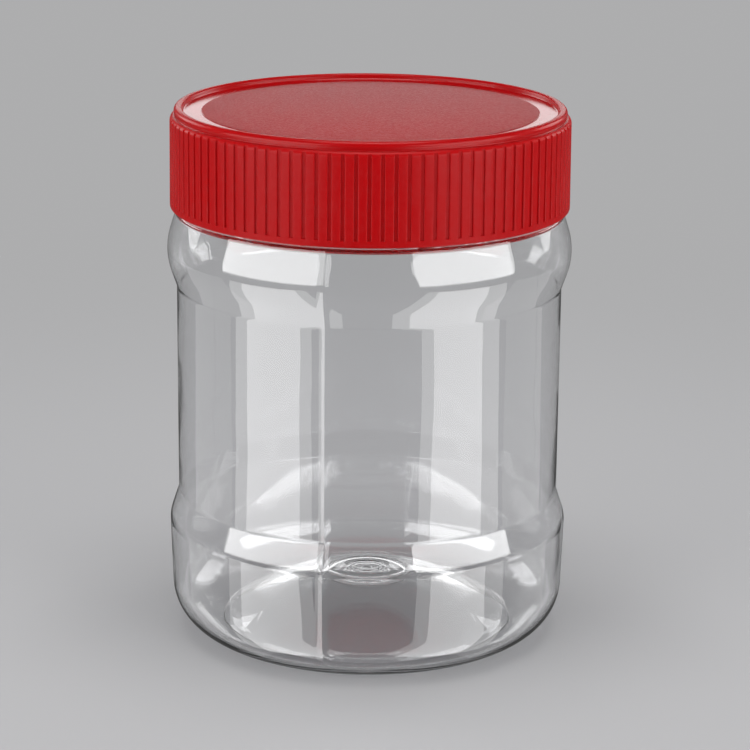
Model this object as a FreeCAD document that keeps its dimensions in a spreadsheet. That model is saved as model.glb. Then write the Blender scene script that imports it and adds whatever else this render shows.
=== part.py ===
import FreeCAD, Part
import math
import os

import Sketcher

# A wide-mouth storage jar of clear blow-moulded plastic and its ribbed screw lid.
# The jar stands on its foot ring at Z = 0 with its axis on Z; the lid sits on the neck's top land.

doc = FreeCAD.newDocument("storage_jar")
dims = doc.addObject("Spreadsheet::Sheet", "dims")

sizes = [
    # jar, outside, measured from the foot
    ("jar_height", 112.4, "foot to the neck's top land"),
    ("panel_radius", 41.1, "label panel"),
    ("panel_bottom", 31.0, "label panel's lower edge"),
    ("panel_blend", 3.0, "rounding at the panel's lower edge"),
    ("bead_root_blend", 0.9, "rounding at the panel's upper edge"),
    ("bead_height", 16.3, "shoulder bead, from the panel's upper edge to the shoulder's edge"),
    ("bead_rise", 7.6, "bead's widest level above the panel's upper edge"),
    ("bead_flare", 2.65, "bead's flanks meet this far outside the panel"),
    ("bead_round", 13.4, "rounding of the bead's crest"),
    ("hip_drop", 5.8, "panel down to the hip"),
    ("hip_flare", 1.9, "hip beyond the panel"),
    ("hip_round", 5.5, "rounding of the hip"),
    ("heel_flare", 1.1, "wall beyond the panel at the heel"),
    ("heel_round", 10.6, "heel's curve down to the foot"),
    ("foot_width", 0.6, "flat land of the foot ring"),
    ("foot_rise", 1.3, "steep wall inside the foot ring"),
    ("foot_draft", 0.5, "how far that wall leans inwards"),
    ("pushup_height", 10.6, "underside of the base above the foot, on the axis"),
    # jar, neck finish
    ("neck_radius", 39.6, "outside of the neck"),
    ("neck_length", 19.5, "shoulder's edge to the top land"),
    ("shoulder_rise", 0.4, "shoulder's slope up to the neck"),
    ("lip_bevel", 0.4, "bevel of the neck's outer lip"),
    # jar, walls
    ("wall", 0.75, "blown wall"),
    ("neck_wall", 1.5, "moulded neck wall"),
    ("heel_wall", 1.1, "floor of the foot channel"),
    ("base_wall", 1.5, "base on the axis"),
    # lid
    ("lid_top", 1.4, "top plate"),
    ("thread_room", 1.45, "neck to skirt, each side"),
    ("skirt_gap", 0.3, "skirt's lower edge above the neck's root"),
    ("skirt_wall", 1.25, "skirt under the ribs, at the top"),
    ("skirt_draft", 0.12, "skirt's taper, wider at the lower edge"),
    ("skirt_bevel", 0.3, "bevel of the skirt's lower edge"),
    ("rib_drop", 0.9, "top of the ribs below the panel"),
    ("rib_bevel_height", 1.1, "bevel of the ribs' upper ends"),
    ("rib_bevel_depth", 0.5, "how far that bevel goes in"),
    ("rim_valley", 1.15, "valley under the rim, in from the skirt"),
    ("valley_rise", 0.2, "valley above the top of the ribs"),
    ("rim_lean", 0.3, "rim's outer face outside the valley"),
    ("rim_height", 1.05, "rim above the panel"),
    ("rim_width", 2.0, "rim bead"),
    ("rim_round", 0.95, "rounding of the rim bead, outside"),
    ("rib_count", 100, "grooves round the skirt"),
    ("groove_depth", 0.42, "groove in the skirt"),
    ("groove_mouth", 0.85, "groove's width at the skirt"),
    ("groove_floor", 0.45, "groove's width at its floor"),
    ("plain_band", 1.5, "smooth band under the grooves"),
]
for row, (alias, size, note) in enumerate(sizes, start=1):
    dims.set("A%d" % row, note)
    dims.set("B%d" % row, str(size))
    dims.setAlias("B%d" % row, alias)
doc.recompute()


def sized(formula):
    """Formula with each size named as the sheet's cell."""
    words = formula.replace("(", " ( ").replace(")", " ) ").split()
    names = {alias for alias, size, note in sizes}
    return " ".join("dims." + word if word in names else word for word in words)


def amount(formula):
    return float(dims.evalExpression(sized(formula)))


def origin_part(body, role):
    return next(part for part in body.Origin.OriginFeatures if part.Role == role)


def new_body(label):
    body = doc.addObject("PartDesign::Body", label)
    body.Label = label
    return body


def new_sketch(body, name, plane):
    sketch = body.newObject("Sketcher::SketchObject", name)
    sketch.AttachmentSupport = (origin_part(body, plane), [""])
    sketch.MapMode = "FlatFace"
    return sketch


def bind(sketch, constraint, formula):
    index = sketch.addConstraint(constraint)
    sketch.setExpression("Constraints[%d]" % index, sized(formula))


def place(sketch, edge, end, across, up):
    """Tie one end of an edge to its distances from the sketch's two axes."""
    x, y = amount(across), amount(up)
    if abs(x) < 1e-9:
        sketch.addConstraint(Sketcher.Constraint("PointOnObject", edge, end, -2))
    else:
        bind(sketch, Sketcher.Constraint("DistanceX", -1, 1, edge, end, x), across)
    if abs(y) < 1e-9:
        sketch.addConstraint(Sketcher.Constraint("PointOnObject", edge, end, -1))
    else:
        bind(sketch, Sketcher.Constraint("DistanceY", -1, 1, edge, end, y), up)


def rounded_corner(before, corner, after, radius):
    """Tangent points and centre of the arc that rounds a corner."""
    to_before = (before - corner).normalize()
    to_after = (after - corner).normalize()
    half = to_before.getAngle(to_after) / 2
    reach = radius / math.tan(half)
    centre = corner + (to_before + to_after).normalize() * (radius / math.sin(half))
    return corner + to_before * reach, corner + to_after * reach, centre


def draw_outline(sketch, corners):
    """Closed outline through corners (across, up, rounding).

    A corner marked dome starts an arc centred on the axis. A rounded corner keeps its sharp point as
    construction, so the outline follows the corner's own sizes.
    """
    points = [FreeCAD.Vector(amount(across), amount(up), 0) for across, up, rounding in corners]
    count = len(corners)
    entries, leaves, arcs = [], [], {}
    for i, (across, up, rounding) in enumerate(corners):
        if rounding in ("", "dome"):
            entries.append(points[i])
            leaves.append(points[i])
        else:
            following = points[(i + 1) % count]
            start, end, centre = rounded_corner(points[i - 1], points[i], following, amount(rounding))
            entries.append(start)
            leaves.append(end)
            arcs[i] = centre
    edges = []
    for i in range(count):
        start, end = leaves[i], entries[(i + 1) % count]
        if corners[i][2] == "dome":
            edges.append(add_dome(sketch, start, end))
        else:
            edges.append((sketch.addGeometry(Part.LineSegment(start, end)), 1, 2))
    for i, (across, up, rounding) in enumerate(corners):
        last, last_start, last_end = edges[i - 1]
        this, this_start, this_end = edges[i]
        if i not in arcs:
            sketch.addConstraint(Sketcher.Constraint("Coincident", last, last_end, this, this_start))
            place(sketch, this, this_start, across, up)
            continue
        arc, arc_start, arc_end = add_arc(sketch, arcs[i], entries[i], leaves[i])
        sketch.addConstraint(Sketcher.Constraint("Tangent", last, last_end, arc, arc_start))
        sketch.addConstraint(Sketcher.Constraint("Tangent", arc, arc_end, this, this_start))
        bind(sketch, Sketcher.Constraint("Radius", arc, amount(rounding)), rounding)
        sharp = sketch.addGeometry(Part.Point(points[i]), True)
        sketch.addConstraint(Sketcher.Constraint("PointOnObject", sharp, 1, last))
        sketch.addConstraint(Sketcher.Constraint("PointOnObject", sharp, 1, this))
        place(sketch, sharp, 1, across, up)


def add_arc(sketch, centre, start, end):
    """Short arc from start to end; returns the arc and which of its ends is which."""
    first = math.atan2(start.y - centre.y, start.x - centre.x)
    second = math.atan2(end.y - centre.y, end.x - centre.x)
    circle = Part.Circle(centre, FreeCAD.Vector(0, 0, 1), (start - centre).Length)
    if (second - first) % (2 * math.pi) < math.pi:
        return sketch.addGeometry(Part.ArcOfCircle(circle, first, second)), 1, 2
    return sketch.addGeometry(Part.ArcOfCircle(circle, second, first)), 2, 1


def add_dome(sketch, start, end):
    """Arc between a point on the axis and one beside it, centred on the axis."""
    drop = start.y - end.y
    width = start.x - end.x
    top, side = (start, end) if start.x < end.x else (end, start)
    radius = (width ** 2 + drop ** 2) / (2 * abs(drop))
    centre = FreeCAD.Vector(0, top.y - radius, 0)
    arc, arc_start, arc_end = add_arc(sketch, centre, start, end)
    sketch.addConstraint(Sketcher.Constraint("PointOnObject", arc, 3, -2))
    return arc, arc_start, arc_end


def turn(body, kind, name, sketch):
    """Revolution or Groove of a sketch, once round the body's Z axis."""
    feature = body.newObject("PartDesign::" + kind, name)
    feature.Profile = sketch
    feature.ReferenceAxis = (origin_part(body, "Z_Axis"), [""])
    feature.Angle = 360
    sketch.Visibility = False
    return feature


# The jar: blown body and moulded neck in one piece.
jar = new_body("jar")

shoulder_level = "(jar_height - neck_length)"
panel_top = "(jar_height - neck_length - bead_height)"
heel_radius = "(panel_radius + heel_flare)"
foot_edge = "(panel_radius + heel_flare - heel_round - foot_width)"
neck_bore = "(neck_radius - neck_wall)"

jar_outline = new_sketch(jar, "jar_outline", "XZ_Plane")
draw_outline(jar_outline, [
    ("0", "pushup_height", "dome"),
    (foot_edge + " - foot_draft", "foot_rise", ""),
    (foot_edge, "0", ""),
    (heel_radius, "0", "heel_round"),
    ("panel_radius + hip_flare", "panel_bottom - hip_drop", "hip_round"),
    ("panel_radius", "panel_bottom", "panel_blend"),
    ("panel_radius", panel_top, "bead_root_blend"),
    ("panel_radius + bead_flare", panel_top + " + bead_rise", "bead_round"),
    ("panel_radius", shoulder_level, ""),
    ("neck_radius", shoulder_level + " + shoulder_rise", ""),
    ("neck_radius", "jar_height - lip_bevel", ""),
    ("neck_radius - lip_bevel", "jar_height", ""),
    ("0", "jar_height", ""),
])
turn(jar, "Revolution", "blown_body", jar_outline)

# The hollow follows the outside at the wall's distance, and leaves more in the neck and under the dome.
jar_hollow = new_sketch(jar, "jar_hollow", "XZ_Plane")
draw_outline(jar_hollow, [
    ("0", "pushup_height + base_wall", "dome"),
    (foot_edge + " - foot_draft + wall / 2", "foot_rise + heel_wall", ""),
    (foot_edge + " + wall / 2", "heel_wall", ""),
    (heel_radius + " - wall", "heel_wall", "heel_round - heel_wall"),
    ("panel_radius + hip_flare - wall", "panel_bottom - hip_drop", "hip_round - wall"),
    ("panel_radius - wall", "panel_bottom", "panel_blend + wall"),
    ("panel_radius - wall", panel_top, "bead_root_blend + wall"),
    ("panel_radius + bead_flare - wall", panel_top + " + bead_rise", "bead_round - wall"),
    ("panel_radius - wall", shoulder_level + " - wall", ""),
    (neck_bore, shoulder_level + " + shoulder_rise - wall", ""),
    (neck_bore, "jar_height", ""),
    ("0", "jar_height", ""),
])
turn(jar, "Groove", "hollow", jar_hollow)

# The lid: ribbed skirt, top plate and rim bead.
# Its own Z = 0 is the underside of its top plate, which seats on the neck's land.
lid = new_body("lid")

skirt_depth = "(neck_length - shoulder_rise - skirt_gap)"
skirt_bore = "(neck_radius + thread_room)"
skirt_radius = "(neck_radius + thread_room + skirt_wall)"
valley_radius = "(neck_radius + thread_room + skirt_wall - rim_valley)"
rim_radius = "(neck_radius + thread_room + skirt_wall - rim_valley + rim_lean)"

lid_outline = new_sketch(lid, "lid_outline", "XZ_Plane")
draw_outline(lid_outline, [
    ("0", "0", ""),
    (skirt_bore, "0", ""),
    (skirt_bore, "0 - " + skirt_depth, ""),
    (skirt_radius + " + skirt_draft - skirt_bevel", "0 - " + skirt_depth, ""),
    (skirt_radius + " + skirt_draft", "0 - " + skirt_depth + " + skirt_bevel", ""),
    (skirt_radius, "lid_top - rib_drop - rib_bevel_height", ""),
    (skirt_radius + " - rib_bevel_depth", "lid_top - rib_drop", ""),
    (valley_radius, "lid_top - rib_drop + valley_rise", ""),
    (rim_radius, "lid_top", ""),
    (rim_radius, "lid_top + rim_height", "rim_round"),
    (rim_radius + " - rim_width + rim_lean", "lid_top + rim_height", ""),
    (rim_radius + " - rim_width", "lid_top", ""),
    ("0", "lid_top", ""),
])
turn(lid, "Revolution", "cap", lid_outline)

# One groove's section, seen from above; it is cut upwards from the plain band and runs out under the rim.
groove_section = new_sketch(lid, "groove_section", "XY_Plane")
groove_section.setExpression(".AttachmentOffset.Base.z", sized("0 - (" + skirt_depth + " - plain_band)"))
outside = skirt_radius + " + 2 * skirt_draft"
floor_radius = skirt_radius + " - groove_depth"
mouth_slope = "(groove_mouth - groove_floor) / 2 / groove_depth * 2 * skirt_draft"
draw_outline(groove_section, [
    ("groove_floor / 2", "0 - (" + floor_radius + ")", ""),
    ("groove_mouth / 2 + " + mouth_slope, "0 - (" + outside + ")", ""),
    ("0 - groove_mouth / 2 - " + mouth_slope, "0 - (" + outside + ")", ""),
    ("0 - groove_floor / 2", "0 - (" + floor_radius + ")", ""),
])
groove = lid.newObject("PartDesign::Pocket", "groove")
groove.Profile = groove_section
groove.Reversed = True
groove.setExpression("Length", sized(skirt_depth + " - plain_band + lid_top"))
groove_section.Visibility = False
doc.recompute()

ribs = lid.newObject("PartDesign::PolarPattern", "ribs")
ribs.Originals = [groove]
ribs.Axis = (origin_part(lid, "Z_Axis"), [""])
ribs.Angle = 360
ribs.setExpression("Occurrences", sized("rib_count"))
lid.Tip = ribs

lid.setExpression("Placement.Base.z", sized("jar_height"))
doc.recompute()

# Every object is checked before the pieces are written, one STEP file each.
for thing in doc.Objects:
    if "Invalid" in thing.State or "Error" in thing.State:
        raise RuntimeError("%s is %s" % (thing.Name, thing.State))

os.makedirs("parts", exist_ok=True)
for piece in (jar, lid):
    if piece.Shape.isNull() or not piece.Shape.isValid() or len(piece.Shape.Solids) != 1:
        raise RuntimeError("%s is not one valid solid" % piece.Label)
    print("%s: %.0f mm3, %d faces" % (piece.Label, piece.Shape.Volume, len(piece.Shape.Faces)))
    piece.Shape.exportStep(os.path.join("parts", piece.Label + ".step"))
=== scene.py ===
import math

import bpy
from mathutils import Matrix, Vector


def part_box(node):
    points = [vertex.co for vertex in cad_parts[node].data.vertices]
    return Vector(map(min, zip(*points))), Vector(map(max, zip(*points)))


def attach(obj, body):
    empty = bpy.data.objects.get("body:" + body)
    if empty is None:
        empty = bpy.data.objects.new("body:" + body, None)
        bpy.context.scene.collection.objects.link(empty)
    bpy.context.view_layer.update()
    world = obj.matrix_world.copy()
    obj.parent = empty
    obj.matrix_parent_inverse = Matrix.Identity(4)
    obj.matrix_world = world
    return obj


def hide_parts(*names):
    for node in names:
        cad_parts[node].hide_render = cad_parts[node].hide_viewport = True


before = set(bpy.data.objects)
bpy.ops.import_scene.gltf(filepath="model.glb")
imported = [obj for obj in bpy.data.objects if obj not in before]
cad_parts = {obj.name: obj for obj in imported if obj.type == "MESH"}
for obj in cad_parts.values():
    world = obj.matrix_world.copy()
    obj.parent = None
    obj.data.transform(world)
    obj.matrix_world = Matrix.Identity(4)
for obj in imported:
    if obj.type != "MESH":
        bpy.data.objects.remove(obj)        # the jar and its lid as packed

scene = bpy.context.scene
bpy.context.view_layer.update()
jarLow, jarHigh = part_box("jar")
lidLow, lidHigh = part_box("lid")
millimetre = 0.001
slack = 1e-5              # metres, how far past a limit a place may lie and still count
mergeWithin = 2e-6        # metres, points nearer than this become one
shortestStep = 1e-7       # metres, shorter steps of an outline are left out
creaseAngle = 40          # degrees, an edge sharper than this stays sharp


def restSelection():
    bpy.ops.object.select_all(action="DESELECT")


def startVertex(name, across, up):  # a primitive collapsed to the first point of an outline
    restSelection()
    place = (across * millimetre, 0, up * millimetre)
    bpy.ops.mesh.primitive_plane_add(size=millimetre, location=place)
    piece = bpy.context.object
    piece.name = name
    piece.data.name = name
    bpy.ops.object.transform_apply(location=True, rotation=False, scale=False)
    bpy.ops.object.mode_set(mode="EDIT")
    bpy.ops.mesh.select_mode(type="VERT")
    bpy.ops.mesh.select_all(action="SELECT")
    bpy.ops.mesh.merge(type="CENTER")
    return piece


def extrudeTo(here, there):
    step = (there - here) * millimetre
    if step.length > shortestStep:
        bpy.ops.mesh.extrude_region_move(TRANSFORM_OT_translate={"value": (step.x, 0, step.y)})


# angle is right-handed here, and the operator's own is left-handed
def spinBy(angle, steps=1, centre=(0, 0, 0), axis=(0, 0, 1), copies=False):
    bpy.ops.mesh.spin(steps=steps, angle=-angle, center=centre, axis=axis, dupli=copies)


def spinAlong(here, there, centre, arcStep):  # an arc of the outline about its centre, arcStep in degrees
    first = here - centre
    second = there - centre
    sweep = math.atan2(first.y * second.x - first.x * second.y, first.dot(second))
    steps = max(2, math.ceil(abs(math.degrees(sweep)) / arcStep))
    middle = (centre.x * millimetre, 0, centre.y * millimetre)
    spinBy(sweep, steps, middle, (0, 1, 0))


def roundedCorner(before, corner, after, radius):  # where its rounding starts, ends and has its centre
    toBefore = (before - corner).normalized()
    toAfter = (after - corner).normalized()
    half = toBefore.angle(toAfter) / 2
    reach = radius / math.tan(half)
    centre = corner + (toBefore + toAfter).normalized() * (radius / math.sin(half))
    return corner + toBefore * reach, corner + toAfter * reach, centre


# corners are (across, up, rounding); "dome" starts an arc about the axis that ends at the next corner
def drawOutline(name, corners, arcStep):
    points = [Vector((across, up)) for across, up, rounding in corners]
    piece = startVertex(name, *points[0])
    here = points[0]
    for i in range(1, len(corners)):
        if corners[i - 1][2] == "dome":
            here = drawDome(points[i - 1], points[i], arcStep)
        elif corners[i][2] in (0, "dome"):
            extrudeTo(here, points[i])
            here = points[i]
        else:
            start, end, centre = roundedCorner(points[i - 1], points[i], points[i + 1], corners[i][2])
            extrudeTo(here, start)
            spinAlong(start, end, centre, arcStep)
            here = end
    return piece


def drawDome(here, there, arcStep):  # the arc's centre is on the axis, as far from one end as from the other
    level = (here.length_squared - there.length_squared) / (2 * (here.y - there.y))
    spinAlong(here, there, Vector((0, level)), arcStep / 2)
    return there


def spinColumns(angles):  # turns the outline about Z through uneven steps, in radians
    for angle in angles:
        spinBy(angle)


def selectVertices(piece, wanted):  # in edit mode, by place
    bpy.ops.mesh.select_all(action="DESELECT")
    bpy.ops.object.mode_set(mode="OBJECT")
    for vertex in piece.data.vertices:
        vertex.select = wanted(vertex.co, vertex.normal)
    bpy.ops.object.mode_set(mode="EDIT")


def selectFaces(piece, wanted):
    bpy.ops.mesh.select_mode(type="FACE")
    bpy.ops.mesh.select_all(action="DESELECT")
    bpy.ops.object.mode_set(mode="OBJECT")
    for face in piece.data.polygons:
        face.select = wanted(face.center, face.normal)
    bpy.ops.object.mode_set(mode="EDIT")


def closeUp(piece):  # merged, turned outwards and smoothed
    bpy.ops.mesh.select_mode(type="VERT")
    bpy.ops.mesh.select_all(action="SELECT")
    bpy.ops.mesh.remove_doubles(threshold=mergeWithin)
    bpy.ops.mesh.select_all(action="SELECT")
    bpy.ops.mesh.normals_make_consistent(inside=False)
    bpy.ops.object.mode_set(mode="OBJECT")
    restSelection()
    piece.select_set(True)
    bpy.context.view_layer.objects.active = piece
    bpy.ops.object.shade_smooth_by_angle(angle=math.radians(creaseAngle))


def turnAndApply(piece, angle):
    restSelection()
    piece.select_set(True)
    bpy.context.view_layer.objects.active = piece
    piece.rotation_euler.z = angle
    bpy.ops.object.transform_apply(location=True, rotation=True, scale=True)


def newMaterial(name):
    material = bpy.data.materials.new(name)
    material.use_nodes = True
    nodes = material.node_tree.nodes
    nodes.clear()
    output = nodes.new("ShaderNodeOutputMaterial")
    shader = nodes.new("ShaderNodeBsdfPrincipled")
    material.node_tree.links.new(shader.outputs["BSDF"], output.inputs["Surface"])
    return material, material.node_tree, shader


def addNode(tree, kind, **settings):  # a setting is one of the node's sockets or its own property
    node = tree.nodes.new(kind)
    for name, value in settings.items():
        if name in node.inputs:
            node.inputs[name].default_value = value
        else:
            setattr(node, name, value)
    return node


def join(tree, outlet, inlet):
    tree.links.new(outlet, inlet)


jarSizes = {  # millimetres, and heights above the foot
    "panelRadius": 41.1,
    "panelBottom": 31.0,
    "panelBlend": 3.0,
    "beadRootBlend": 2.2,
    "beadHeight": 16.3,
    "beadRise": 7.6,
    "beadFlare": 2.65,
    "beadRound": 13.4,
    "hipDrop": 5.8,
    "hipFlare": 1.9,
    "hipRound": 5.5,
    "heelFlare": 1.1,
    "heelRound": 10.6,
    "footWidth": 0.6,
    "footRise": 1.3,
    "footDraft": 0.5,
    "pushUp": 10.6,
    "neckRadius": 39.6,
    "neckLength": 19.5,
    "shoulderRise": 0.4,
    "shoulderRound": 0.8,
    "neckRootRound": 0.6,
    "lipRound": 0.4,
    "wall": 0.75,
    "neckWall": 1.5,
    "heelWall": 1.1,
    "baseWall": 1.5,
    "gateRadius": 1.3,       # the moulding's gate mark under the base, and the rings round it
    "gateDrop": 0.6,
    "gateRound": 0.3,
    "gateFillet": 0.15,
    "gateRings": (2.8, 4.3, 8.4),
    "ringWidth": 0.5,
    "ringHeight": 0.14,
    "dimpleRadius": 1.2,     # above the gate mark, inside
    "dimpleDepth": 0.1,
    "footFillet": 0.3,       # inside, over the foot
    "arcStep": 3.0,          # degrees between the points of a rounding
    "columns": 200,
    "seamTurn": -102.2,      # degrees from +X, the mould's parting line; the other one is opposite
    "seamHalfWidth": 0.22,
    "seamHeight": 0.07,
    "seamFlank": 0.6,        # its height at the sides, as a share
    "seamFrom": 4.0,         # above the foot
}


def jarOutlines():
    s = jarSizes
    top = jarHigh.z / millimetre
    shoulder = top - s["neckLength"]
    panelTop = shoulder - s["beadHeight"]
    heel = s["panelRadius"] + s["heelFlare"]
    foot = heel - s["heelRound"] - s["footWidth"]
    dome = foot - s["footDraft"]
    hip = s["panelRadius"] + s["hipFlare"]
    bead = s["panelRadius"] + s["beadFlare"]
    wall = s["wall"]
    bore = s["neckRadius"] - s["neckWall"]
    under = domeHeight(s["pushUp"], dome, s["footRise"])
    over = domeHeight(s["pushUp"] + s["baseWall"], dome + wall / 2, s["footRise"] + s["heelWall"])
    gate = s["gateRadius"]
    outside = [
        (0, s["pushUp"] - s["gateDrop"], 0),
        (gate, s["pushUp"] - s["gateDrop"], s["gateRound"]),
        (gate + s["gateFillet"], under(gate), s["gateFillet"]),
        (2 * gate, under(2 * gate), "dome"),
        (dome, s["footRise"], 0),
        (foot, 0, 0),
        (heel, 0, s["heelRound"]),
        (hip, s["panelBottom"] - s["hipDrop"], s["hipRound"]),
        (s["panelRadius"], s["panelBottom"], s["panelBlend"]),
        (s["panelRadius"], panelTop, s["beadRootBlend"]),
        (bead, panelTop + s["beadRise"], s["beadRound"]),
        (s["panelRadius"], shoulder, s["shoulderRound"]),
        (s["neckRadius"], shoulder + s["shoulderRise"], s["neckRootRound"]),
        (s["neckRadius"], top, s["lipRound"]),
    ]
    inside = [
        (bore, top, s["lipRound"]),
        (bore, shoulder + s["shoulderRise"] - wall, s["neckRootRound"] + wall),
        (s["panelRadius"] - wall, shoulder - wall, s["shoulderRound"]),
        (bead - wall, panelTop + s["beadRise"], s["beadRound"] - wall),
        (s["panelRadius"] - wall, panelTop, s["beadRootBlend"] + wall),
        (s["panelRadius"] - wall, s["panelBottom"], s["panelBlend"] + wall),
        (hip - wall, s["panelBottom"] - s["hipDrop"], s["hipRound"] - wall),
        (heel - wall, s["heelWall"], s["heelRound"] - s["heelWall"]),
        (foot + wall / 2, s["heelWall"], s["footFillet"]),
        (dome + wall / 2, s["footRise"] + s["heelWall"], "dome"),
    ]
    return outside + inside + ringsOnDome(over)


def domeHeight(top, edge, low):  # gives the height of a dome's arc at any distance from the axis
    drop = top - low
    radius = (edge ** 2 + drop ** 2) / (2 * drop)
    return lambda across: top - radius + math.sqrt(radius ** 2 - across ** 2)


def ringsOnDome(over):  # low rings in the middle of the base, from the outer one inwards
    s = jarSizes
    corners = []
    half = s["ringWidth"] / 2
    dimple = s["dimpleRadius"]
    for ring in sorted(s["gateRings"], reverse=True):
        corners.append((ring + 2 * half, over(ring + 2 * half), 0))
        corners.append((ring, over(ring) + s["ringHeight"], half))
        corners.append((ring - 2 * half, over(ring - 2 * half), 0))
    return corners + [(dimple, over(dimple), 0), (0, over(0) - s["dimpleDepth"], 0)]


def modelJar():
    s = jarSizes
    piece = drawOutline("jar_wall", jarOutlines(), s["arcStep"])
    fine = s["seamHalfWidth"] / s["panelRadius"]    # half the parting line's width, in radians
    coarse = (math.pi - 2 * fine) / (s["columns"] / 2)
    bpy.ops.mesh.select_all(action="SELECT")
    for side in range(2):
        spinColumns([fine / 2] * 2 + [coarse] * (s["columns"] // 2) + [fine / 2] * 2)
    closeUp(piece)
    raiseSeam(piece, fine)
    turnAndApply(piece, math.radians(s["seamTurn"]))
    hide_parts("jar")
    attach(piece, "root")
    return piece


def raiseSeam(piece, fine):  # both parting lines, while they still lie on the X axis
    s = jarSizes
    low = s["seamFrom"] * millimetre
    high = jarHigh.z - s["neckLength"] * millimetre
    facingOut = 0.3          # least part of the normal that points outwards
    bpy.ops.object.mode_set(mode="EDIT")
    for side in (-1, 1):
        for column, share in ((0, 1), (-fine / 2, s["seamFlank"]), (fine / 2, s["seamFlank"])):

            def onSeam(point, normal):
                angle = math.atan2(side * point.y, side * point.x)
                outside = low < point.z < high and side * normal.x > facingOut
                return outside and abs(angle - column) < fine / 8

            selectVertices(piece, onSeam)
            bpy.ops.transform.translate(value=(side * share * s["seamHeight"] * millimetre, 0, 0))
    bpy.ops.object.mode_set(mode="OBJECT")


clearFinish = {
    "refraction": 1.575,
    "roughness": 0.0,
    "tint": (0.93, 0.932, 0.937, 1),
    "shadowTint": (0.83, 0.835, 0.84, 1),
    "waves": 45,             # to a metre
    "waveDetail": 1.5,
    "waveHeight": 0.16,      # millimetres
}


def clearPlastic():
    material, tree, shader = newMaterial("clearPlastic")
    shader.inputs["Base Color"].default_value = clearFinish["tint"]
    shader.inputs["Transmission Weight"].default_value = 1
    shader.inputs["IOR"].default_value = clearFinish["refraction"]
    shader.inputs["Roughness"].default_value = clearFinish["roughness"]
    where = addNode(tree, "ShaderNodeTexCoord")       # the blown wall is a little wavy
    waves = addNode(tree, "ShaderNodeTexNoise", Scale=clearFinish["waves"], Detail=clearFinish["waveDetail"])
    bump = addNode(tree, "ShaderNodeBump", Strength=1.0, Distance=clearFinish["waveHeight"] * millimetre)
    join(tree, where.outputs["Object"], waves.inputs["Vector"])
    join(tree, waves.outputs["Fac"], bump.inputs["Height"])
    join(tree, bump.outputs["Normal"], shader.inputs["Normal"])
    # light that falls through the wall onto other pieces goes straight on
    output = tree.nodes["Material Output"]
    path = addNode(tree, "ShaderNodeLightPath")
    through = addNode(tree, "ShaderNodeBsdfTransparent", Color=clearFinish["shadowTint"])
    blend = addNode(tree, "ShaderNodeMixShader")
    straight = addNode(tree, "ShaderNodeMath", operation="MAXIMUM")
    join(tree, path.outputs["Is Shadow Ray"], straight.inputs[0])
    join(tree, path.outputs["Is Diffuse Ray"], straight.inputs[1])
    join(tree, straight.outputs[0], blend.inputs[0])
    join(tree, shader.outputs["BSDF"], blend.inputs[1])
    join(tree, through.outputs["BSDF"], blend.inputs[2])
    join(tree, blend.outputs["Shader"], output.inputs["Surface"])
    return material


lidSizes = {  # millimetres
    "plate": 1.4,
    "bore": 41.05,
    "boreEdge": 0.2,
    "draft": 0.12,
    "edgeRound": 0.35,
    "plateCorner": 0.5,
    "ribDrop": 0.9,
    "ribRound": 1.15,
    "valleyDepth": 1.15,     # between the ribs and the rim
    "valleyRise": 0.1,
    "valleyRound": 0.25,
    "rimFoot": 0.4,
    "rimLean": 0.3,
    "rimWidth": 2.0,
    "rimRound": 0.95,
    "rimEdge": 0.6,
    "ringInner": 35.5,       # the polished ring round the grained panel
    "ringDip": 0.12,
    "ringRound": 0.3,
    "stepWidth": 0.15,
    "stepRound": 0.08,
    "polishedBelow": 0.3,    # how far under and over the plate's top a face is still polished
    "polishedAbove": 0.1,
    "arcStep": 15.0,         # degrees between the points of a rounding
    "grooves": 100,
    "grooveDepth": 0.42,
    "grooveProfile": [(0.34, 1.0), (0.42, 0.34), (0.50, 0.06), (0.64, 0.0)],  # aside, share of the depth
    "grooveRunOut": 0.05,    # how far past the ribs' top a groove goes
    "plainBand": 1.5,
    "sill": 0.12,
}


def lidOutline():
    s = lidSizes
    under = jarHigh.z / millimetre
    plate = under + s["plate"]
    bottom = lidLow.z / millimetre
    skirtLow = lidHigh.x / millimetre
    skirt = skirtLow - s["draft"]
    ribTop = plate - s["ribDrop"]
    valley = skirt - s["valleyDepth"]
    rim = valley + s["rimLean"]
    crest = lidHigh.z / millimetre
    rimInside = rim - s["rimWidth"]
    return [
        (0, under, 0),
        (s["bore"], under, s["plateCorner"]),
        (s["bore"], bottom, s["boreEdge"]),
        (skirtLow, bottom, s["edgeRound"]),
        (skirtLow, bottom + s["plainBand"] - s["sill"], 0),
        (skirtLow, bottom + s["plainBand"], 0),
        (skirt, ribTop, s["ribRound"]),
        (valley, ribTop + s["valleyRise"], s["valleyRound"]),
        (rim, plate, s["rimFoot"]),
        (rim, crest, s["rimRound"]),
        (rimInside + s["rimLean"], crest, s["rimEdge"]),
        (rimInside, plate - s["ringDip"], s["ringRound"]),
        (s["ringInner"] + s["stepWidth"], plate - s["ringDip"], s["stepRound"]),
        (s["ringInner"], plate, 0),
        (0, plate, 0),
    ]


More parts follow.
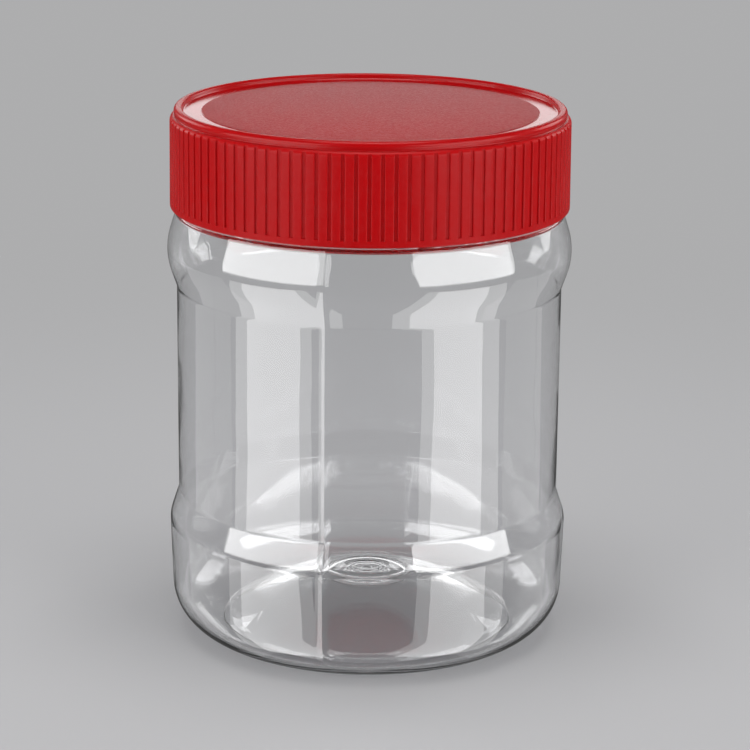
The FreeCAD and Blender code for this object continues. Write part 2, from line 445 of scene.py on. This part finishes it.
def modelLid():
    s = lidSizes
    piece = drawOutline("ribbed_lid", lidOutline(), s["arcStep"])
    skirt = lidHigh.x / millimetre
    pitch = 2 * math.pi / s["grooves"]
    asides = sorted(side * aside for aside, share in s["grooveProfile"] for side in (-1, 1))
    angles = [-pitch / 2] + [aside / skirt for aside in asides] + [pitch / 2]
    bpy.ops.mesh.select_all(action="SELECT")
    spinColumns([after - before for before, after in zip(angles, angles[1:])])
    bpy.ops.mesh.select_mode(type="VERT")
    bpy.ops.mesh.select_all(action="SELECT")
    bpy.ops.mesh.remove_doubles(threshold=mergeWithin)
    sinkGroove(piece, -pitch / 2)
    bpy.ops.mesh.select_all(action="SELECT")
    spinBy(2 * math.pi - pitch, s["grooves"] - 1, copies=True)
    closeUp(piece)
    turnAndApply(piece, math.radians(-90) - pitch / 2)
    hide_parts("lid")
    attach(piece, "root")
    return piece


def sinkGroove(piece, start):  # each column of the sector goes in by its share of the depth
    s = lidSizes
    skirt = lidHigh.x
    floor = lidLow.z + s["plainBand"] * millimetre - slack
    ceiling = jarHigh.z + (s["plate"] - s["ribDrop"] + s["grooveRunOut"]) * millimetre
    sameColumn = 1e-4        # radians
    sameRadius = 2e-7        # metres
    for aside, share in s["grooveProfile"]:
        limit = skirt - s["grooveDepth"] * share * millimetre
        for sign in (-1, 1):
            column = sign * aside * millimetre / skirt - start
            direction = Vector((math.cos(column), math.sin(column), 0))

            def onColumn(point, normal):
                level = floor < point.z < ceiling
                angle = math.atan2(point.y, point.x)
                return level and abs(angle - column) < sameColumn and point.to_2d().length > limit

            selectVertices(piece, onColumn)
            bpy.ops.object.mode_set(mode="OBJECT")
            radii = sorted({round(v.co.to_2d().length, 7) for v in piece.data.vertices if v.select})
            bpy.ops.object.mode_set(mode="EDIT")
            for radius in radii:

                def atRadius(point, normal):
                    return onColumn(point, normal) and abs(point.to_2d().length - radius) < sameRadius

                selectVertices(piece, atRadius)
                bpy.ops.transform.translate(value=direction * (limit - radius))


redLook = {
    "colour": (0.365, 0.0013, 0.0026, 1),
    "refraction": 1.49,
    "bleed": (1, 0.12, 0.1),     # how far red, green and blue light go into the plastic, as shares of depth
    "grainDetail": 3.0,
    "grainRoughness": 0.6,
    "paleFrom": 0.40,            # height in the grain at which the colour starts to turn paler
    "paleTo": 0.63,
    "finishes": {                # grain, relief and depth are in millimetres
        "redSkirt": {"roughness": 0.34, "shine": 0.11, "depthShare": 0.3, "depth": 1.2,
                     "grain": 2.0, "relief": 0.05, "palenessOfGrainAndPaintedLight": 0.003},
        "redRim": {"roughness": 0.26, "shine": 0.16, "depthShare": 0.35, "depth": 1.2,
                   "grain": 1.5, "relief": 0.02, "palenessOfGrainAndPaintedLight": 0.0},
        "redPolished": {"roughness": 0.16, "shine": 0.5, "depthShare": 0.2, "depth": 1.2,
                        "grain": 1.5, "relief": 0.01, "palenessOfGrainAndPaintedLight": 0.0},
        # the grained panel's paler patches are partly its mottled grain and partly a painted sheen
        "redGrained": {"roughness": 0.42, "shine": 0.33, "depthShare": 0.2, "depth": 0.8,
                       "grain": 0.5, "relief": 0.45, "palenessOfGrainAndPaintedLight": 0.08},
        # the inside's paler patches are painted light that lifts the shaded inside of the lid
        "redInside": {"roughness": 0.4, "shine": 0.2, "depthShare": 1.0, "depth": 9.0,
                      "grain": 1.5, "relief": 0.01, "palenessOfGrainAndPaintedLight": 0.08},
    },
}


def redPlastic(name, finish):
    look = redLook
    material, tree, shader = newMaterial(name)
    shader.inputs["Roughness"].default_value = finish["roughness"]
    shader.inputs["IOR"].default_value = look["refraction"]
    shader.inputs["Specular IOR Level"].default_value = finish["shine"]
    shader.inputs["Subsurface Weight"].default_value = finish["depthShare"]
    shader.inputs["Subsurface Radius"].default_value = look["bleed"]
    shader.inputs["Subsurface Scale"].default_value = finish["depth"] * millimetre
    where = addNode(tree, "ShaderNodeTexCoord")
    grain = addNode(tree, "ShaderNodeTexNoise", Scale=1 / (finish["grain"] * millimetre),
                    Detail=look["grainDetail"], Roughness=look["grainRoughness"])
    bump = addNode(tree, "ShaderNodeBump", Strength=1.0, Distance=finish["relief"] * millimetre)
    join(tree, where.outputs["Object"], grain.inputs["Vector"])
    join(tree, grain.outputs["Fac"], bump.inputs["Height"])
    join(tree, bump.outputs["Normal"], shader.inputs["Normal"])
    colours = addNode(tree, "ShaderNodeValToRGB")
    low, high = colours.color_ramp.elements
    low.position = look["paleFrom"]
    low.color = look["colour"]
    high.position = look["paleTo"]
    # paler patches in the grain: random tone on the skirt, partly a painted sheen on the grained panel,
    # painted light on the inside faces
    high.color = [part + (1 - part) * finish["palenessOfGrainAndPaintedLight"] for part in look["colour"]]
    join(tree, grain.outputs["Fac"], colours.inputs["Fac"])
    join(tree, colours.outputs["Color"], shader.inputs["Base Color"])
    return material


def finishLid(piece):  # each part of the lid gets its finish; a later one takes faces from an earlier one
    s = lidSizes
    finishes = redLook["finishes"]
    for name, finish in finishes.items():
        piece.data.materials.append(redPlastic(name, finish))
    under = jarHigh.z
    plate = under + s["plate"] * millimetre
    ribTop = plate - s["ribDrop"] * millimetre
    ring = s["ringInner"] * millimetre
    rimInside = lidHigh.x - (s["valleyDepth"] + s["rimWidth"] - s["rimLean"]) * millimetre
    bore = (s["bore"] + s["boreEdge"]) * millimetre
    ringLow = plate - s["polishedBelow"] * millimetre
    ringHigh = plate + s["polishedAbove"] * millimetre
    notDown = -0.5           # least upward part of a face's normal on the rim
    facingDown = -0.7

    def onRim(centre, normal):
        return centre.z > ribTop and normal.z > notDown

    def onRing(centre, normal):
        return ringLow < centre.z < ringHigh and centre.to_2d().length < rimInside

    def onPanel(centre, normal):
        return centre.z > plate - mergeWithin and centre.to_2d().length < ring

    def onInside(centre, normal):
        return centre.z < under + slack and centre.to_2d().length < bore or normal.z < facingDown

    places = {"redRim": onRim, "redPolished": onRing, "redGrained": onPanel, "redInside": onInside}
    bpy.ops.object.mode_set(mode="EDIT")
    for name, wanted in places.items():
        selectFaces(piece, wanted)
        piece.active_material_index = list(finishes).index(name)
        bpy.ops.object.material_slot_assign()
    bpy.ops.object.mode_set(mode="OBJECT")


threadSizes = {  # millimetres
    "pitch": 5.0,
    "turns": 1.6,
    "neckStart": 5.0,        # above the shoulder
    "neckRadii": (39.5, 40.55),
    "lidRadii": (41.1, 40.1),
    "rootWidth": 2.2,
    "crestWidth": 0.8,
    "stepsPerTurn": 96,
    "runOut": 12,            # steps over which an end fades
}


def fadeEnds(piece, root, start):  # the ridge sinks to its root at both ends
    s = threadSizes
    last = len(piece.data.vertices) // 4 - 1
    turnStep = 2 * math.pi * s["turns"] / last
    bpy.ops.object.mode_set(mode="EDIT")
    for k in range(s["runOut"]):
        share = (k + 0.5) / s["runOut"]
        for ring in (k, last - k):
            angle = ring * turnStep
            middle = start + s["pitch"] * angle / (2 * math.pi)
            centre = Vector((root * math.cos(angle), root * math.sin(angle), middle)) * millimetre

            def inRing(point, normal):
                aside = math.atan2(point.y, point.x) - angle
                aside = (aside + math.pi) % (2 * math.pi) - math.pi
                return abs(aside) < turnStep / 4 and abs(point.z - centre.z) < s["rootWidth"] * millimetre

            selectVertices(piece, inRing)
            bpy.ops.transform.resize(value=(share, share, share), center_override=centre)
    bpy.ops.object.mode_set(mode="OBJECT")


def modelThread(name, radii, start, material):  # a ridge from its root radius to its crest radius
    s = threadSizes
    root, crest = radii
    piece = startVertex(name, root, start - s["rootWidth"] / 2)
    flank = Vector((crest - root, (s["rootWidth"] - s["crestWidth"]) / 2))
    back = Vector((root - crest, (s["rootWidth"] - s["crestWidth"]) / 2))
    for step in (flank, Vector((0, s["crestWidth"])), back, Vector((0, -s["rootWidth"]))):
        extrudeTo(Vector((0, 0)), step)
    bpy.ops.mesh.select_all(action="SELECT")
    bpy.ops.mesh.remove_doubles(threshold=mergeWithin)
    bpy.ops.object.mode_set(mode="OBJECT")
    screw = piece.modifiers.new("thread", "SCREW")
    screw.angle = 2 * math.pi * s["turns"]
    screw.screw_offset = s["pitch"] * s["turns"] * millimetre
    screw.steps = screw.render_steps = round(s["stepsPerTurn"] * s["turns"])
    screw.use_smooth_shade = False
    bpy.context.view_layer.objects.active = piece
    bpy.ops.object.modifier_apply(modifier=screw.name)
    fadeEnds(piece, root, start)
    bpy.ops.object.mode_set(mode="EDIT")
    bpy.ops.mesh.select_all(action="SELECT")
    bpy.ops.mesh.fill_holes(sides=0)
    closeUp(piece)
    piece.data.materials.append(material)
    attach(piece, "root")
    return piece


cameraSettings = {
    "distance": 0.6054,      # metres from what it aims at
    "down": 15.647,          # degrees below level
    "aim": (0.00141, 0, 0.05584),
    "roll": 0.521,
    "lens": 134.4,
}


def setCamera():
    s = cameraSettings
    data = bpy.data.cameras.new("camera")
    data.lens = s["lens"]
    camera = bpy.data.objects.new("camera", data)
    scene.collection.objects.link(camera)
    down = math.radians(s["down"])
    back = Vector((0, -math.cos(down), math.sin(down))) * s["distance"]
    facing = (-back).to_track_quat("-Z", "Y").to_matrix().to_4x4()
    roll = Matrix.Rotation(math.radians(s["roll"]), 4, "Z")
    camera.matrix_world = Matrix.Translation(Vector(s["aim"]) + back) @ facing @ roll
    scene.camera = camera


floorFinish = {
    "colour": (0.44, 0.44, 0.45, 1),
    "roughness": 0.7,
    "radius": 3.0,           # metres
    "sides": 96,
    "paleFrom": 0.14,        # metres from the middle, where the floor starts to fade into the backdrop
    "paleTo": 0.40,
    "backdrop": (0.42, 0.42, 0.425, 1),
}


def seenDirectly(tree):  # 1 for what the camera sees, also through clear pieces
    path = addNode(tree, "ShaderNodeLightPath")
    either = addNode(tree, "ShaderNodeMath", operation="MAXIMUM")
    join(tree, path.outputs["Is Camera Ray"], either.inputs[0])
    join(tree, path.outputs["Is Transmission Ray"], either.inputs[1])
    return either.outputs[0]


def layFloor():
    s = floorFinish
    restSelection()
    bpy.ops.mesh.primitive_circle_add(vertices=s["sides"], radius=s["radius"], fill_type="NGON",
                                      location=(0, 0, jarLow.z))
    floor = bpy.context.object
    floor.name = "floor"
    material, tree, shader = newMaterial("paleFloor")
    shader.inputs["Base Color"].default_value = s["colour"]
    shader.inputs["Roughness"].default_value = s["roughness"]
    where = addNode(tree, "ShaderNodeTexCoord")
    away = addNode(tree, "ShaderNodeVectorMath", operation="LENGTH")
    fade = addNode(tree, "ShaderNodeMapRange", interpolation_type="SMOOTHSTEP")
    fade.inputs["From Min"].default_value = s["paleFrom"]
    fade.inputs["From Max"].default_value = s["paleTo"]
    share = addNode(tree, "ShaderNodeMath", operation="MULTIPLY")
    backdrop = addNode(tree, "ShaderNodeEmission", Color=s["backdrop"])
    blend = addNode(tree, "ShaderNodeMixShader")
    join(tree, where.outputs["Object"], away.inputs[0])
    join(tree, away.outputs["Value"], fade.inputs["Value"])
    join(tree, fade.outputs["Result"], share.inputs[0])
    join(tree, seenDirectly(tree), share.inputs[1])
    join(tree, share.outputs[0], blend.inputs[0])
    join(tree, shader.outputs["BSDF"], blend.inputs[1])
    join(tree, backdrop.outputs["Emission"], blend.inputs[2])
    join(tree, blend.outputs["Shader"], tree.nodes["Material Output"].inputs["Surface"])
    floor.data.materials.append(material)
    floor.visible_glossy = False        # the low softboxes stand in for a sheen under the object


lightSettings = {
    "softboxes": [           # degrees from the front, height, distance, width, tall, watts
        (-57, 0.25, 0.75, 0.90, 0.42, 5.4),
        (57, 0.25, 0.75, 0.90, 0.42, 5.4),
        (-57.5, -0.52, 0.75, 0.62, 0.90, 5.2),
        (54, -0.52, 0.75, 0.56, 0.90, 4.7),
        (-58.5, -0.56, 0.82, 1.00, 0.95, 5.8),
        (57, -0.56, 0.82, 1.02, 0.95, 6.0),
        (-106, -0.50, 0.75, 0.64, 0.90, 0.9),
        (106, -0.50, 0.75, 0.64, 0.90, 0.9),
        (-130, 0.35, 0.90, 0.45, 0.35, 1.5),
        (130, 0.35, 0.90, 0.45, 0.35, 1.5),
        (180, 0.50, 2.0, 1.20, 0.30, 2.0),
        (0, 1.20, 0.10, 0.70, 0.70, 7.2),
    ],
    "aimHeight": 0.08,
    "world": 0.12,
    "bounces": 28,           # light crosses many clear walls
    "mirrorBounces": 12,
    "clearBounces": 32,
}


def hangSoftbox(name, azimuth, height, distance, width, tall, power):
    data = bpy.data.lights.new(name, "AREA")
    data.shape = "RECTANGLE"
    data.size = width
    data.size_y = tall
    data.energy = power
    lamp = bpy.data.objects.new(name, data)
    scene.collection.objects.link(lamp)
    turn = math.radians(azimuth)
    lamp.location = (distance * math.sin(turn), -distance * math.cos(turn), height)
    towards = Vector((0, 0, lightSettings["aimHeight"])) - lamp.location
    lamp.rotation_euler = towards.to_track_quat("-Z", "Y").to_euler()


def setLight():
    for i, settings in enumerate(lightSettings["softboxes"], start=1):
        hangSoftbox("softbox%d" % i, *settings)
    world = bpy.data.worlds.new("studio")
    world.use_nodes = True
    tree = world.node_tree
    tree.nodes.clear()
    shade = lightSettings["world"]
    dim = addNode(tree, "ShaderNodeBackground", Color=(shade, shade, shade, 1))
    pale = addNode(tree, "ShaderNodeBackground", Color=floorFinish["backdrop"])
    blend = addNode(tree, "ShaderNodeMixShader")
    output = addNode(tree, "ShaderNodeOutputWorld")
    join(tree, seenDirectly(tree), blend.inputs[0])
    join(tree, dim.outputs["Background"], blend.inputs[1])
    join(tree, pale.outputs["Background"], blend.inputs[2])
    join(tree, blend.outputs["Shader"], output.inputs["Surface"])
    scene.world = world


jar = modelJar()
jar.data.materials.append(clearPlastic())
print("jar modelled:", len(jar.data.polygons), "faces")
lid = modelLid()
finishLid(lid)
print("lid modelled:", len(lid.data.polygons), "faces")
neckFoot = jarHigh.z / millimetre - jarSizes["neckLength"] + threadSizes["neckStart"]
modelThread("neck_thread", threadSizes["neckRadii"], neckFoot, jar.data.materials[0])
modelThread("lid_thread", threadSizes["lidRadii"], neckFoot + threadSizes["pitch"] / 2,
            lid.data.materials["redInside"])
print("threads modelled")
setCamera()
layFloor()
setLight()
scene.view_settings.view_transform = "Standard"
scene.cycles.caustics_refractive = False
scene.cycles.max_bounces = lightSettings["bounces"]
scene.cycles.transmission_bounces = lightSettings["bounces"]
scene.cycles.glossy_bounces = lightSettings["mirrorBounces"]
scene.cycles.transparent_max_bounces = lightSettings["clearBounces"]
print("camera, floor and light set")
